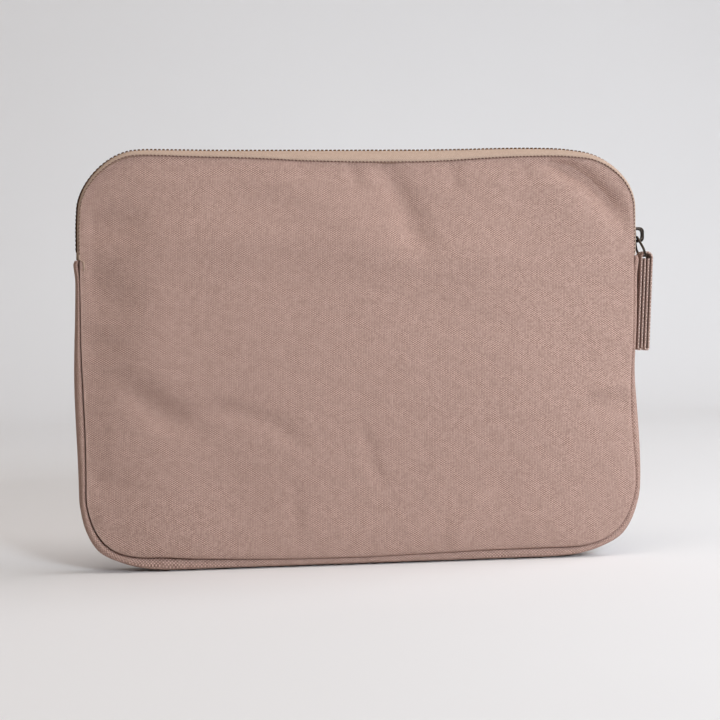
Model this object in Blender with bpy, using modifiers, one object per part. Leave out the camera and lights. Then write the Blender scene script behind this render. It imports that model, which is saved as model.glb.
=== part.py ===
"""Padded canvas laptop sleeve with a zip along its mouth, one object per sub-part.

Metres, +Z up. The sleeve stands on its edge band: X runs along its width, the front panel
faces -Y, and the origin is the centre of the flat bottom. "Inset" is measured inwards from
the outermost outline, in the plane of the panels; "out" is the same distance outwards.
"""

import math

import bmesh
import bpy
from mathutils import Matrix, Vector

MM = 0.001

# Outline and layers
HALF_WIDTH = 171.0 * MM
HEIGHT = 250.0 * MM
TOP_CORNER_R = 34.0 * MM
LOW_CORNER_R = 44.0 * MM
CORNER_STEPS = 10
FOLD_Z = 185.0 * MM  # the front panel folds here, level with the ends of the zip
FOLD_GAP = 0.15 * MM

CANVAS_Y = (12.7 * MM, 13.7 * MM)
FOAM_Y = (8.4 * MM, 12.4 * MM)
LINING_Y = (7.5 * MM, 8.1 * MM)
CANVAS_INSET = 5.5 * MM
FOAM_INSET = 7.3 * MM
LINING_INSET = 7.3 * MM
HINGE_Y = -13.85 * MM

# Edge band round the bottom and both sides
BAND_FLAT = 7.7 * MM  # half of the flat across the band
BAND_R = 5.0 * MM
BAND_THICK = 1.0 * MM
BAND_FOAM = (1.3 * MM, 3.8 * MM)
BAND_LINING = (4.1 * MM, 4.7 * MM)
BAND_INNER_HALF = 7.9 * MM

# Zip, with its tapes arched over the mouth
TAPE_ARCH = (  # (half depth, out) from the seam to the teeth
    (12.3 * MM, -5.9 * MM),
    (11.2 * MM, -4.0 * MM),
    (8.6 * MM, -2.5 * MM),
    (1.3 * MM, -1.8 * MM),
)
TAPE_THICK = 0.6 * MM
TEETH_OUT = (-1.5 * MM, -0.1 * MM)
TEETH_HALF = 2.8 * MM
TOOTH_PITCH = 2.54 * MM
TOOTH_WAVE = 0.5 * MM
TEETH_GAP = 0.15 * MM
PARTED_HALF = (1.25 * MM, 3.05 * MM)
TEETH_START_Z = 190.2 * MM
CHAIN_SPLIT_Z = HEIGHT - TOP_CORNER_R
STOP_Z = (186.3 * MM, 189.6 * MM)
STOP_OUT = (-1.5 * MM, 0.0 * MM)

# Slider, on the right side near the end of the zip
SLIDER_Z = (190.5 * MM, 202.5 * MM)
SLIDER_TOP_OUT = (0.2 * MM, 1.15 * MM)
SLIDER_HALF = 4.5 * MM
FLANGE_THICK = 1.1 * MM
FLANGE_DOWN = -1.5 * MM
SLIDER_UNDER_OUT = (-3.9 * MM, -2.9 * MM)
SLIDER_UNDER_HALF = 3.0 * MM
POST_HALF = 0.85 * MM
POST_Z = (191.0 * MM, 193.6 * MM)
BRIDGE_OUT = 4.9 * MM
BRIDGE_THICK = 1.5 * MM
BRIDGE_HALF = 1.3 * MM
BRIDGE_Z = (193.2 * MM, 202.1 * MM)
BRIDGE_LIFT = 0.15 * MM

# Wire link and webbing pull
WIRE_R = 0.75 * MM
LINK_TOP = (HALF_WIDTH + 2.25 * MM, 196.0 * MM)
LINK_LEAN = math.radians(20)
LINK_LENGTH = 12.2 * MM
LINK_TOP_HALF = 2.5 * MM
LINK_BAR_HALF = 7.25 * MM
LINK_STRAIGHT = 5.2 * MM
WEB_THICK = 2.0 * MM
WEB_HALF_WIDTH = 6.0 * MM
WEB_LENGTH = 61.5 * MM
WEB_SLIT = 0.2 * MM
WEB_INNER_TOP = 8.0 * MM  # from the bar down to the tops of the tucked ends

COLOURS = {
    "canvas": ((0.43, 0.33, 0.26), 0.9, 0.0),
    "foam": ((0.72, 0.70, 0.66), 0.95, 0.0),
    "lining": ((0.50, 0.44, 0.38), 0.9, 0.0),
    "tape": ((0.55, 0.41, 0.31), 0.85, 0.0),
    "brass": ((0.24, 0.16, 0.09), 0.35, 1.0),
    "bronze": ((0.13, 0.11, 0.09), 0.35, 1.0),
}


def clear_scene():
    for obj in list(bpy.data.objects):
        bpy.data.objects.remove(obj)


def collection(name):
    made = bpy.data.collections.new(name)
    bpy.context.scene.collection.children.link(made)
    return made


def dress(obj, cloth):
    """A material of the object's own."""
    colour, roughness, metallic = COLOURS[cloth]
    material = bpy.data.materials.new(obj.name)
    material.use_nodes = True
    shader = material.node_tree.nodes["Principled BSDF"]
    shader.inputs["Base Color"].default_value = (*colour, 1)
    shader.inputs["Roughness"].default_value = roughness
    shader.inputs["Metallic"].default_value = metallic
    material.diffuse_color = (*colour, 1)
    obj.data.materials.append(material)


def clockwise(points):
    area = sum(
        a[0] * b[1] - b[0] * a[1] for a, b in zip(points, points[1:] + points[:1])
    )
    return points if area < 0 else points[::-1]


def curve_object(name, loops, cyclic, home):
    data = bpy.data.curves.new(name, "CURVE")
    data.dimensions = "2D"
    for points in loops:
        spline = data.splines.new("POLY")
        spline.points.add(len(points) - 1)
        for point, (x, y) in zip(spline.points, points):
            point.co = (x, y, 0, 1)
        spline.use_cyclic_u = cyclic
    obj = bpy.data.objects.new(name, data)
    home.objects.link(obj)
    return obj


def arc(centre, radius, start, end, steps):
    """Points of an arc, its angles in degrees."""
    turns = [math.radians(start + (end - start) * i / steps) for i in range(steps + 1)]
    return [
        (centre[0] + radius * math.cos(t), centre[1] + radius * math.sin(t))
        for t in turns
    ]


def panel_outline(inset, low=None, high=None):
    """The sleeve's outline moved in by inset, cut level at low or high where given."""
    half = HALF_WIDTH - inset
    points = []
    if low is None:
        x, z, radius = HALF_WIDTH - LOW_CORNER_R, LOW_CORNER_R, LOW_CORNER_R - inset
        points += arc((-x, z), radius, 180, 270, CORNER_STEPS)
        points += arc((x, z), radius, 270, 360, CORNER_STEPS)
    else:
        points += [(-half, low), (half, low)]
    if high is None:
        x, z, radius = HALF_WIDTH - TOP_CORNER_R, CHAIN_SPLIT_Z, TOP_CORNER_R - inset
        points += arc((x, z), radius, 0, 90, CORNER_STEPS)
        points += arc((-x, z), radius, 90, 180, CORNER_STEPS)
    else:
        points += [(half, high), (-half, high)]
    return points


def layer(name, cloth, side, depths, inset, low=None, high=None):
    """A flat layer of a panel: side is -1 for the front and 1 for the back."""
    obj = curve_object(name, [panel_outline(inset, low, high)], True, PARTS)
    obj.data.fill_mode = "BOTH"
    obj.data.extrude = (depths[1] - depths[0]) / 2
    obj.rotation_euler = (math.pi / 2, 0, 0)
    obj.location = (0, side * (depths[0] + depths[1]) / 2, 0)
    dress(obj, cloth)
    return obj


def swept(name, cloth, path, profile):
    """A strip swept along a path in the XZ plane. Its profile is (out, y)."""
    section = curve_object(
        name + "_section", [clockwise([(o, -y) for o, y in profile])], True, HELPERS
    )
    obj = curve_object(name, [path], False, PARTS)
    obj.data.bevel_mode = "OBJECT"
    obj.data.bevel_object = section
    obj.data.use_fill_caps = True
    obj.rotation_euler = (math.pi / 2, 0, 0)
    dress(obj, cloth)
    return obj


def bottom_path(top_z):
    """Down the left side, along the bottom and up the right side."""
    return (
        [(-HALF_WIDTH, top_z)]
        + panel_outline(0, high=top_z)[:-2]
        + [(HALF_WIDTH, top_z)]
    )


def top_path(low_z):
    """Up the right side, along the top and down the left side."""
    return [(HALF_WIDTH, low_z)] + panel_outline(0, low=low_z)[2:] + [
        (-HALF_WIDTH, low_z)
    ]


def band():
    """The edge band: canvas turned over both edges, with foam and lining inside it."""
    outer = arc((-BAND_R, BAND_FLAT), BAND_R, 0, 90, 7)
    inner = arc((-BAND_R, BAND_FLAT), BAND_R - BAND_THICK, 90, 0, 5)
    mirrored = [(o, -y) for o, y in inner[::-1]], [(o, -y) for o, y in outer[::-1]]
    top = FOLD_Z - FOLD_GAP
    path = bottom_path(top)
    swept("gusset_canvas", "canvas", path, outer + inner + mirrored[0] + mirrored[1])
    for name, cloth, (near, far) in (
        ("gusset_foam", "foam", BAND_FOAM),
        ("gusset_lining", "lining", BAND_LINING),
    ):
        half = BAND_INNER_HALF if cloth == "lining" else BAND_FLAT
        swept(
            name,
            cloth,
            path,
            [(-near, -half), (-near, half), (-far, half), (-far, -half)],
        )


def panels():
    split = {"lower": (None, FOLD_Z - FOLD_GAP), "upper": (FOLD_Z + FOLD_GAP, None)}
    for kind, cloth, depths, inset in (
        ("canvas", "canvas", CANVAS_Y, CANVAS_INSET),
        ("foam", "foam", FOAM_Y, FOAM_INSET),
        ("lining", "lining", LINING_Y, LINING_INSET),
    ):
        layer(f"back_{kind}_panel", cloth, 1, depths, inset)
        for part, (low, high) in split.items():
            layer(f"front_{kind}_{part}", cloth, -1, depths, inset, low, high)


def tape(name, side):
    normals = []
    for (y0, o0), (y1, o1) in zip(TAPE_ARCH, TAPE_ARCH[1:]):
        run = Vector((y1 - y0, o1 - o0)).normalized()
        normals.append(Vector((-run.y, run.x)))
    under = []
    for i, point in enumerate(TAPE_ARCH):
        mean = (normals[max(i - 1, 0)] + normals[min(i, len(normals) - 1)]).normalized()
        under.append(Vector(point) + mean * TAPE_THICK)
    profile = [(o, side * y) for y, o in TAPE_ARCH]
    profile += [(point.y, side * point.x) for point in under[::-1]]
    swept(name, "tape", top_path(FOLD_Z + FOLD_GAP), profile)


def along_top(distance):
    """The point and the outward direction at a distance along the top path from the fold, right to left."""
    side = CHAIN_SPLIT_Z - FOLD_Z
    quarter = math.pi / 2 * TOP_CORNER_R
    top = 2 * (HALF_WIDTH - TOP_CORNER_R)
    centre_x = HALF_WIDTH - TOP_CORNER_R
    if distance <= side:
        return Vector((HALF_WIDTH, FOLD_Z + distance)), Vector((1, 0))
    distance -= side
    if distance <= quarter:
        turn = distance / TOP_CORNER_R
        out = Vector((math.cos(turn), math.sin(turn)))
        return Vector((centre_x, CHAIN_SPLIT_Z)) + out * TOP_CORNER_R, out
    distance -= quarter
    if distance <= top:
        return Vector((centre_x - distance, HEIGHT)), Vector((0, 1))
    distance -= top
    if distance <= quarter:
        turn = math.pi / 2 + distance / TOP_CORNER_R
        out = Vector((math.cos(turn), math.sin(turn)))
        return Vector((-centre_x, CHAIN_SPLIT_Z)) + out * TOP_CORNER_R, out
    return Vector((-HALF_WIDTH, CHAIN_SPLIT_Z - distance + quarter)), Vector((-1, 0))


def teeth_edge(distance, side):
    """How far the teeth reach across the mouth at this distance along the zip, and their outer limit."""
    wave = abs((distance / TOOTH_PITCH) % 1 - 0.5) * 4 - 1
    parted = max(0.0, min(1.0, (SPREAD_END - distance) / (SPREAD_END - SPREAD_START)))
    shut = TEETH_GAP + side * wave * TOOTH_WAVE
    return (
        shut * (1 - parted) + PARTED_HALF[0] * parted,
        TEETH_HALF * (1 - parted) + PARTED_HALF[1] * parted,
    )


def chain(name, side, start, end):
    """A strip of closed teeth between two distances along the zip, lofted tooth by tooth."""
    half = TOOTH_PITCH / 2
    turns = range(math.floor(start / half) + 1, math.ceil(end / half))
    mesh = bpy.data.meshes.new(name)
    form = bmesh.new()
    rings = []
    for distance in [start] + [half * i for i in turns] + [end]:
        point, out = along_top(distance)
        near, far = teeth_edge(distance, side)
        rings.append(
            [
                form.verts.new(
                    (point.x + out.x * o, side * y, point.y + out.y * o)
                )
                for y, o in (
                    (near, TEETH_OUT[0]),
                    (near, TEETH_OUT[1]),
                    (far, TEETH_OUT[1]),
                    (far, TEETH_OUT[0]),
                )
            ]
        )
    for a, b in zip(rings, rings[1:]):
        for i in range(4):
            form.faces.new((a[i], a[(i + 1) % 4], b[(i + 1) % 4], b[i]))
    form.faces.new(rings[0])
    form.faces.new(rings[-1][::-1])
    bmesh.ops.recalc_face_normals(form, faces=form.faces)
    form.to_mesh(mesh)
    form.free()
    obj = bpy.data.objects.new(name, mesh)
    PARTS.objects.link(obj)
    dress(obj, "brass")


def chains():
    corner = CHAIN_SPLIT_Z - FOLD_Z
    left = corner + math.pi * TOP_CORNER_R + 2 * (HALF_WIDTH - TOP_CORNER_R)
    first = TEETH_START_Z - FOLD_Z
    last = left + corner - first
    gap = 0.1 * MM
    chain("zip_chain_back_right_end", 1, first, corner - gap)
    chain("zip_chain_back", 1, corner + gap, last)
    chain("zip_chain_front_right_end", -1, first, corner - gap)
    chain("zip_chain_front", -1, corner + gap, left - gap)
    chain("zip_chain_front_left_end", -1, left + gap, last)


def block(name, cloth, x, y, z, rounding):
    """A box with rounded edges between these limits."""
    mesh = bpy.data.meshes.new(name)
    form = bmesh.new()
    bmesh.ops.create_cube(form, size=1)
    size = Vector((x[1] - x[0], y[1] - y[0], z[1] - z[0]))
    bmesh.ops.transform(form, matrix=Matrix.Diagonal((*size, 1)), verts=form.verts)
    form.to_mesh(mesh)
    form.free()
    obj = bpy.data.objects.new(name, mesh)
    obj.location = ((x[0] + x[1]) / 2, (y[0] + y[1]) / 2, (z[0] + z[1]) / 2)
    PARTS.objects.link(obj)
    if rounding:
        bevel = obj.modifiers.new("Rounding", "BEVEL")
        bevel.width = rounding
        bevel.segments = 2
    dress(obj, cloth)
    return obj


def stops():
    for name, side in (("zip_top_stop_front", -1), ("zip_top_stop_back", 1)):
        near, far = sorted((side * 1.2 * MM, side * 3.0 * MM))
        block(
            name,
            "brass",
            (HALF_WIDTH + STOP_OUT[0], HALF_WIDTH + STOP_OUT[1]),
            (near, far),
            STOP_Z,
            0.35 * MM,
        )
    block(
        "zip_bottom_stop",
        "brass",
        (-HALF_WIDTH - STOP_OUT[1], -HALF_WIDTH - STOP_OUT[0]),
        (-TEETH_HALF, TEETH_HALF),
        STOP_Z,
        0.4 * MM,
    )


def helper(obj):
    """Moves a cutter or another tool to the helpers' collection."""
    PARTS.objects.unlink(obj)
    HELPERS.objects.link(obj)
    obj.hide_render = True
    obj.display_type = "WIRE"
    return obj


def slider():
    """The slider's body: upper plate with its two flanges, post and lower plate in one casting."""
    top = tuple(HALF_WIDTH + o for o in SLIDER_TOP_OUT)
    under = tuple(HALF_WIDTH + o for o in SLIDER_UNDER_OUT)
    down = HALF_WIDTH + FLANGE_DOWN
    body = block(
        "slider_body", "bronze", top, (-SLIDER_HALF, SLIDER_HALF), SLIDER_Z, 0
    )
    overlap = 0.4 * MM
    extra = [
        block(
            f"slider_flange_{side}",
            "bronze",
            (down, top[0] + overlap),
            tuple(
                sorted((side * SLIDER_HALF, side * (SLIDER_HALF - FLANGE_THICK)))
            ),
            SLIDER_Z,
            0,
        )
        for side in (-1, 1)
    ]
    extra.append(
        block(
            "slider_post",
            "bronze",
            (under[0] + overlap, top[0] + overlap),
            (-POST_HALF, POST_HALF),
            POST_Z,
            0,
        )
    )
    extra.append(
        block(
            "slider_under_plate",
            "bronze",
            under,
            (-SLIDER_UNDER_HALF, SLIDER_UNDER_HALF),
            SLIDER_Z,
            0,
        )
    )
    for piece in extra:
        join = body.modifiers.new("Join_" + piece.name, "BOOLEAN")
        join.operation = "UNION"
        join.solver = "EXACT"
        join.object = helper(piece)
    rounding = body.modifiers.new("Rounding", "BEVEL")
    rounding.width = 0.25 * MM
    rounding.segments = 2
    rounding.limit_method = "ANGLE"
    return body


def bridge():
    """The arch over the slider's plate that holds the link."""
    foot = HALF_WIDTH + SLIDER_TOP_OUT[1] + BRIDGE_LIFT
    crown = HALF_WIDTH + BRIDGE_OUT
    radius = 2.6 * MM
    z0, z1 = BRIDGE_Z
    outer = (
        [(foot, z0)]
        + arc((crown - radius, z0 + radius), radius, -90, 0, 6)
        + arc((crown - radius, z1 - radius), radius, 0, 90, 6)
        + [(foot, z1)]
    )
    small = radius - BRIDGE_THICK
    inner = (
        [(foot, z1 - BRIDGE_THICK)]
        + arc((crown - radius, z1 - radius), small, 90, 0, 4)
        + arc((crown - radius, z0 + radius), small, 0, -90, 4)
        + [(foot, z0 + BRIDGE_THICK)]
    )
    obj = curve_object("slider_bridge", [outer + inner], True, PARTS)
    obj.data.fill_mode = "BOTH"
    obj.data.extrude = BRIDGE_HALF
    obj.rotation_euler = (math.pi / 2, 0, 0)
    dress(obj, "bronze")
    return obj


def link():
    """The closed wire link, drawn in its own plane and leaned away from the sleeve."""
    bend = 1.4 * MM
    corners = [
        (-LINK_TOP_HALF, 0),
        (-LINK_BAR_HALF, -(LINK_LENGTH - LINK_STRAIGHT)),
        (-LINK_BAR_HALF, -LINK_LENGTH),
        (LINK_BAR_HALF, -LINK_LENGTH),
        (LINK_BAR_HALF, -(LINK_LENGTH - LINK_STRAIGHT)),
        (LINK_TOP_HALF, 0),
    ]
    points = []
    for i, corner in enumerate(corners):
        here = Vector(corner)
        before = Vector(corners[i - 1]) - here
        after = Vector(corners[(i + 1) % len(corners)]) - here
        turn = math.pi - before.angle(after)
        back = min(bend * math.tan(turn / 2), before.length / 2, after.length / 2)
        a, b = here + before.normalized() * back, here + after.normalized() * back
        for k in range(5):
            t = k / 4
            points.append(a.lerp(here, t).lerp(here.lerp(b, t), t)[:])
    obj = curve_object("pull_link", [points], True, PARTS)
    obj.data.bevel_depth = WIRE_R
    obj.data.bevel_resolution = 3
    obj.rotation_euler = (Matrix.Rotation(-LINK_LEAN, 3, "Y") @ Matrix.Rotation(
        math.pi / 2, 3, "Z"
    ) @ Matrix.Rotation(math.pi / 2, 3, "X")).to_euler()
    obj.location = (LINK_TOP[0], 0, LINK_TOP[1])
    dress(obj, "bronze")
    return obj


def link_bar():
    """Where the middle of the link's bar is, as (x, z)."""
    return (
        LINK_TOP[0] + math.sin(LINK_LEAN) * LINK_LENGTH,
        LINK_TOP[1] - math.cos(LINK_LEAN) * LINK_LENGTH,
    )


def strap():
    """The webbing pull: one length folded over the bar, both ends tucked back up between its plies."""
    x, bar_z = link_bar()
    outer = 2 * WEB_THICK + WEB_SLIT
    inner = outer - WEB_THICK
    crown_z = bar_z + WIRE_R + 0.3 * MM - inner
    bottom = crown_z + outer - WEB_LENGTH
    fold = outer / 2
    notch = 5.0 * MM
    outline = (
        arc((x, crown_z), outer, 0, 180, 12)
        + arc((x - fold, bottom + fold), fold, 180, 355, 8)
        + [(x - WEB_SLIT / 4, bottom + fold), (x, bottom + notch)]
        + [(x + WEB_SLIT / 4, bottom + fold)]
        + arc((x + fold, bottom + fold), fold, 185, 360, 8)
    )
    tuck_top = bar_z - WEB_INNER_TOP
    slit_in = inner - WEB_SLIT
    slit_bottom = bottom + WEB_THICK
    hole = (
        arc((x, crown_z), inner, 0, 180, 10)
        + [(x - inner, slit_bottom), (x - slit_in, slit_bottom)]
        + [(x - slit_in, tuck_top), (x + slit_in, tuck_top)]
        + [(x + slit_in, slit_bottom), (x + inner, slit_bottom)]
    )
    points = [[(px - x, pz - bar_z) for px, pz in loop] for loop in (outline, hole)]
    obj = curve_object("pull_strap", points, True, PARTS)
    obj.data.fill_mode = "BOTH"
    obj.data.extrude = WEB_HALF_WIDTH
    obj.rotation_euler = (math.pi / 2, 0, 0)
    obj.location = (x, 0, bar_z)
    dress(obj, "canvas")
    return obj


def on_axis(name, location, members):
    """An empty on a joint's axis, with the pieces and the further axes that move about it under it."""
    axis = bpy.data.objects.new(name, None)
    axis.location = location
    axis.empty_display_size = 0.02
    PARTS.objects.link(axis)
    for member in members:
        obj = bpy.data.objects[member]
        obj.parent = axis
        obj.matrix_parent_inverse = Matrix.Translation(-Vector(location))
    return axis


clear_scene()
PARTS = collection("laptop_sleeve")
HELPERS = collection("helpers")
HELPERS.hide_render = True
SPREAD_START = SLIDER_Z[0] + 3.0 * MM - FOLD_Z
SPREAD_END = SLIDER_Z[0] + 9.0 * MM - FOLD_Z

panels()
band()
tape("zip_tape_back", 1)
tape("zip_tape_front", -1)
chains()
stops()
slider()
bridge()
link()
strap()

on_axis(
    "mouth_axis",
    (0, HINGE_Y, FOLD_Z),
    [
        "front_canvas_upper",
        "front_foam_upper",
        "front_lining_upper",
        "zip_tape_front",
        "zip_chain_front",
        "zip_chain_front_left_end",
        "zip_chain_front_right_end",
    ],
)
on_axis("strap_axis", (link_bar()[0], 0, link_bar()[1]), ["pull_strap"])
on_axis("link_axis", (LINK_TOP[0], 0, LINK_TOP[1]), ["pull_link", "strap_axis"])
on_axis(
    "slider_axis",
    (HALF_WIDTH, 0, SLIDER_Z[0]),
    ["slider_body", "slider_bridge", "link_axis"],
)

for tool in HELPERS.objects:
    tool.hide_render = True
    tool.display_type = "WIRE"
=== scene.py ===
"""Canvas laptop sleeve: the visible model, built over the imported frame.

Metres, in the frame's own axes: X along the width, the front panel faces -Y, +Z up.
"Out" is measured outwards from the sleeve's outermost outline, in the plane of the panels,
and "depth" away from the middle plane. "Round" is the distance round the outline,
anticlockwise seen from the front, from the middle of the bottom.
"""

import math

import bmesh
import bpy
import numpy as np
from mathutils import Matrix, Vector


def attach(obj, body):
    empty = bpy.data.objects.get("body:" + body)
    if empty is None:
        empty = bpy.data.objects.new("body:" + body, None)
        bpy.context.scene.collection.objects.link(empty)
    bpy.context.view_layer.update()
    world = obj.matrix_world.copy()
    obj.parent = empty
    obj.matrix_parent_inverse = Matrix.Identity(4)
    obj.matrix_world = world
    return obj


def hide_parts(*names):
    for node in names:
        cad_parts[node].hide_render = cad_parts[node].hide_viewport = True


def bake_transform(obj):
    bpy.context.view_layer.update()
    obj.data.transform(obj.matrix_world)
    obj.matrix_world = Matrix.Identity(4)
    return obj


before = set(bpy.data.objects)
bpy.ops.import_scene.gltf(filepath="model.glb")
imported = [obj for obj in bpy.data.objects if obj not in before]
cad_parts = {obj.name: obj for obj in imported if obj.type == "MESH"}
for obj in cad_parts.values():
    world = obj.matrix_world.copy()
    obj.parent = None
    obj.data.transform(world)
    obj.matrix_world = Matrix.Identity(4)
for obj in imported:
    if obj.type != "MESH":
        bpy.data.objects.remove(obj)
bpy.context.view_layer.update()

MM = 0.001

# Sizes shared with the frame
HALF_WIDTH, HEIGHT, FOLD_Z = 171 * MM, 250 * MM, 185 * MM
LOW_R, TOP_R = 44 * MM, 34 * MM
LOW_X, TOP_X, TOP_Z = HALF_WIDTH - LOW_R, HALF_WIDTH - TOP_R, HEIGHT - TOP_R
TOOTH_PITCH = 2.54 * MM
PAD_INSIDE = 8.35 * MM
LINK_TOP = Vector((173.25 * MM, 0, 196 * MM))
LINK_BAR = Vector((177.42265 * MM, 0, 184.53575 * MM))
WIRE_R = 0.75 * MM


def ease(value, low, high):
    t = np.clip((np.asarray(value, float) - low) / (high - low), 0, 1)
    return t * t * (3 - 2 * t)


def hill(value, centre, width):
    return np.exp(-(((np.asarray(value, float) - centre) / width) ** 2))


# --- The outline ---------------------------------------------------------------------------

SIDE = TOP_Z - LOW_R
QUARTERS = (LOW_R * math.pi / 2, TOP_R * math.pi / 2)
RUNS = (LOW_X, QUARTERS[0], SIDE, QUARTERS[1], 2 * TOP_X, QUARTERS[1], SIDE, QUARTERS[0], LOW_X)
ENDS = np.cumsum((0,) + RUNS)
AROUND = ENDS[-1]


def spot(part, at=0.0):
    """The distance round to a place: x along the bottom or top, z up a side, in millimetres."""
    return {
        "bottom": (at * MM) % AROUND,
        "right": ENDS[2] + at * MM - LOW_R,
        "top_right": (ENDS[3] + ENDS[4]) / 2,
        "top": ENDS[4] + TOP_X - at * MM,
        "top_left": (ENDS[5] + ENDS[6]) / 2,
        "left": ENDS[6] + TOP_Z - at * MM,
        "low_left": (ENDS[7] + ENDS[8]) / 2,
        "low_right": (ENDS[1] + ENDS[2]) / 2,
    }[part]


def outline(distance):
    """Points (x, z) and outward directions at these distances round."""
    d = np.asarray(distance, float) % AROUND
    x, z = np.zeros_like(d), np.zeros_like(d)
    angle = np.zeros_like(d)
    corners = {  # centre, radius, the outward direction it starts at
        1: (LOW_X, LOW_R, LOW_R, -90), 3: (TOP_X, TOP_Z, TOP_R, 0),
        5: (-TOP_X, TOP_Z, TOP_R, 90), 7: (-LOW_X, LOW_R, LOW_R, 180),
    }
    sides = {  # start, direction, the outward direction
        0: (0, 0, 1, 0, -90), 2: (HALF_WIDTH, LOW_R, 0, 1, 0), 4: (TOP_X, HEIGHT, -1, 0, 90),
        6: (-HALF_WIDTH, TOP_Z, 0, -1, 180), 8: (-LOW_X, 0, 1, 0, 270),
    }
    for i in range(9):
        here = (d >= ENDS[i]) & ((d < ENDS[i + 1]) | (i == 8))
        along = d[here] - ENDS[i]
        if i in corners:
            cx, cz, r, start = corners[i]
            turn = math.radians(start) + along / r
            x[here], z[here] = cx + r * np.cos(turn), cz + r * np.sin(turn)
            angle[here] = turn
        else:
            sx, sz, dx, dz, start = sides[i]
            x[here], z[here] = sx + dx * along, sz + dz * along
            angle[here] = math.radians(start)
    return np.stack([x, z], 1), np.stack([np.cos(angle), np.sin(angle)], 1)


def shared_round(places, d, blur=18):
    """Values given at places round the outline, eased from one to the next."""
    keys = [spot(*p[:-1]) for p in places]
    grid = np.arange(0, AROUND, 1 * MM)
    values = np.interp(grid, keys, [p[-1] for p in places], period=AROUND)
    window = np.hanning(blur + 2)[1:-1]
    padded = np.concatenate([values[-blur:], values, values[:blur]])
    values = np.convolve(padded, window / window.sum(), "same")[blur:-blur]
    return np.interp(np.asarray(d) % AROUND, grid, values, period=AROUND)


SEAM_INSET = (  # how far in from the outline the panels are sewn, in millimetres
    ("bottom", 0, 5.0), ("bottom", 40, 5.8), ("bottom", 75, 6.7), ("bottom", 112, 6.8),
    ("low_right", 5.2), ("right", 48, 3.9), ("right", 66, 5.2), ("right", 84, 5.5),
    ("right", 103, 4.3), ("right", 122, 2.7), ("right", 150, 3.2), ("right", 183, 3.0),
    ("right", 195, 2.8), ("right", 215, 2.9), ("top_right", 4.0), ("top", 130, 5.2),
    ("top", 110, 5.7), ("top", 75, 6.6), ("top", 38, 8.0), ("top", 0, 8.0),
    ("top", -35, 7.2), ("top", -70, 5.4), ("top", -107, 4.8), ("top", -132, 4.2),
    ("top_left", 2.7), ("left", 215, 1.7), ("left", 197, 1.6), ("left", 180, 1.6),
    ("left", 161, 2.0), ("left", 137, 2.8), ("left", 113, 4.1), ("left", 89, 4.4),
    ("left", 65, 3.8), ("left", 44, 3.1), ("low_left", 5.3), ("bottom", -124, 8.6),
    ("bottom", -107, 7.2), ("bottom", -70, 5.8), ("bottom", -35, 5.1),
)
SEAM_GAP = (  # how open the seam's groove is, in millimetres
    ("bottom", 0, 0.0), ("bottom", 70, 0.02), ("bottom", 110, 0.15), ("low_right", 0.2),
    ("right", 70, 0.05), ("right", 110, 0.0), ("right", 180, 0.0), ("right", 215, 0.05),
    ("top_right", 0.15), ("top", 100, 0.15), ("top", 0, 0.15), ("top", -120, 0.1),
    ("top_left", 0.05), ("left", 200, 0.05), ("left", 165, 0.15), ("left", 120, 0.3),
    ("left", 60, 0.3), ("low_left", 0.4), ("bottom", -118, 0.42), ("bottom", -95, 0.25),
    ("bottom", -60, 0.05),
)


class Stations:
    """Places round the outline, ready to be swept along."""

    def __init__(self, distances):
        self.d = np.asarray(distances, float)
        self.p, self.n = outline(self.d)
        self.q = MM * shared_round(SEAM_INSET, self.d)
        self.gap = MM * shared_round(SEAM_GAP, self.d)

    def at(self, out, depth):
        """World points this far out and at this depth, either of which may differ by station."""
        place = self.p + self.n * np.asarray(out).reshape(-1, 1)
        depth = np.broadcast_to(depth, len(self.p))
        return np.stack([place[:, 0], depth, place[:, 1]], axis=1)


def between(start, end, step):
    """Stations from one distance round to a larger one, the ends of the corners among them."""
    ends = [m for m in np.concatenate([ENDS - AROUND, ENDS]) if start < m < end]
    marks = sorted(set(np.round([start, *ends, end], 9)))
    d = [marks[0]]
    for a, b in zip(marks, marks[1:]):
        if b - a > 1e-6:
            d += list(np.linspace(a, b, max(1, round((b - a) / step)) + 1)[1:])
    return Stations(d)


def low_stations(top_z=FOLD_Z, step=2.4 * MM):
    """From the left side's top_z down, along the bottom and up the right side."""
    return between(spot("left", top_z / MM) - AROUND, spot("right", top_z / MM), step)


def top_stations(low_z=FOLD_Z, step=1.6 * MM):
    """From the right side's low_z up, along the top and down the left side."""
    return between(spot("right", low_z / MM), spot("left", low_z / MM), step)


def soften(points):
    """Points of the drawn sleeve moved to where the stuffed one's sides bow and sag."""
    p = np.array(points, float).reshape(-1, 3)
    x, z = p[:, 0] / MM, p[:, 2] / MM
    left, right = ease(-x, 80, 160), ease(x, 80, 160)
    top = ease(z, 150, 235)
    p[:, 0] += MM * left * (0.3 - 1.9 * hill(z, 112, 42))
    p[:, 0] += MM * left * (2.2 * ease(z, 200, 245) - 2.8 * ease(-z, -38, -8))
    p[:, 2] -= MM * (2.4 * ease(-x, 128, 168) + 3.2 * ease(x, 118, 160)) * ease(z, 195, 240)
    p[:, 0] += MM * right * (1.7 * hill(z, 55, 30) - 1.7 * hill(z, 116, 22))
    p[:, 0] += MM * right * 2.0 * hill(z, 12, 14)
    lift = 1.7 * ease(-x, 114, 142) + 1.2 * ease(x, 112, 140)
    p[:, 2] += MM * lift * ease(-z, -14, -2)
    p[:, 2] += MM * top * (1.1 * hill(x, 100, 38) + 0.5 * hill(x, -130, 30))
    return p


# --- Mesh helpers --------------------------------------------------------------------------


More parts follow.
